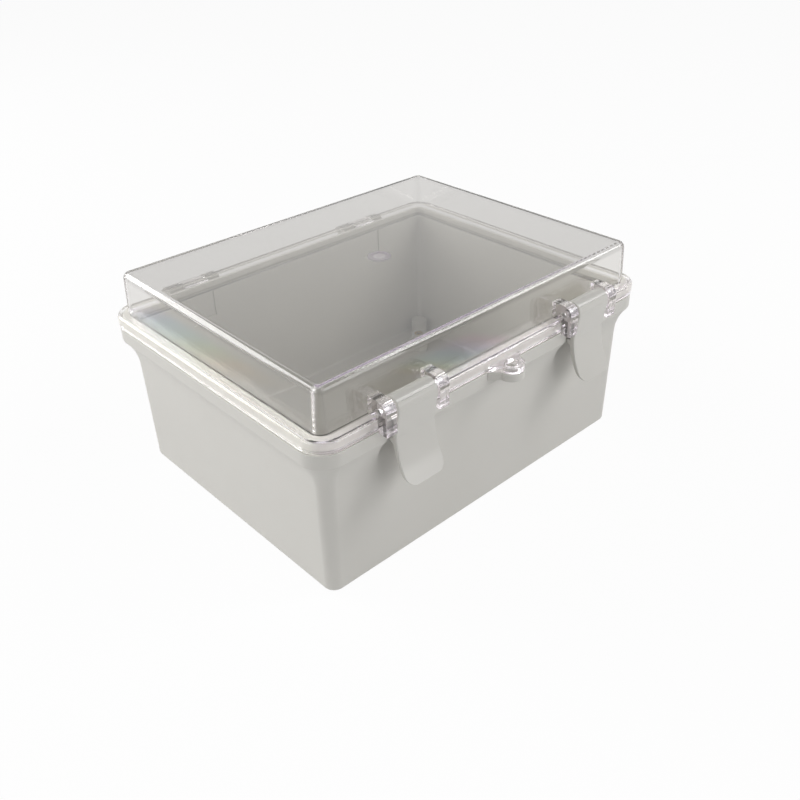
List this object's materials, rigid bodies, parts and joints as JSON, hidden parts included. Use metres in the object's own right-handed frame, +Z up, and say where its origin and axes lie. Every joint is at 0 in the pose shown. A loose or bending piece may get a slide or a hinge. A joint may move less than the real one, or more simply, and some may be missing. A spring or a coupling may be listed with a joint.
{
  "type": "waterproof junction box",
  "caption": "Rectangular waterproof junction box: grey tub with a collared rim, clear hinged dome cover with a gasket, lever latches and a padlock eye.",
  "frame": {"origin": "middle of the tub's underside", "axes": "+X along the latch side, -Y out of the latch side, +Z up through the cover"},
  "size_m": [0.22, 0.19, 0.11],
  "materials": {
    "grey_abs": "fine satin mould texture",
    "clear_polycarbonate": "clear, glossy",
    "pale_silicone": "matt",
    "pin_steel": "drawn wire",
    "insert_brass": "turned"
  },
  "bodies": {
    "base": {"base_tub": "grey_abs", "hinge_pins": "pin_steel", "post_inserts": "insert_brass"},
    "cover": {"clear_cover": "clear_polycarbonate", "cover_gasket": "pale_silicone", "latch_pins": "pin_steel"},
    "left_lever": {"latch_left": "grey_abs"},
    "right_lever": {"latch_right": "grey_abs"}
  },
  "joints": [
    {"name": "cover_hinge", "type": "hinge", "parent": "base", "child": "cover", "pos_m": [0, 0.0895, 0.08195], "axis": [-1, 0, 0], "range_deg": [0, 110]},
    {"name": "left_latch", "type": "hinge", "parent": "cover", "child": "left_lever", "pos_m": [-0.06, -0.0855, 0.0916], "axis": [-1, 0, 0], "range_deg": [0, 110]},
    {"name": "right_latch", "type": "hinge", "parent": "cover", "child": "right_lever", "pos_m": [0.06, -0.0855, 0.0916], "axis": [-1, 0, 0], "range_deg": [0, 110]}
  ]
}
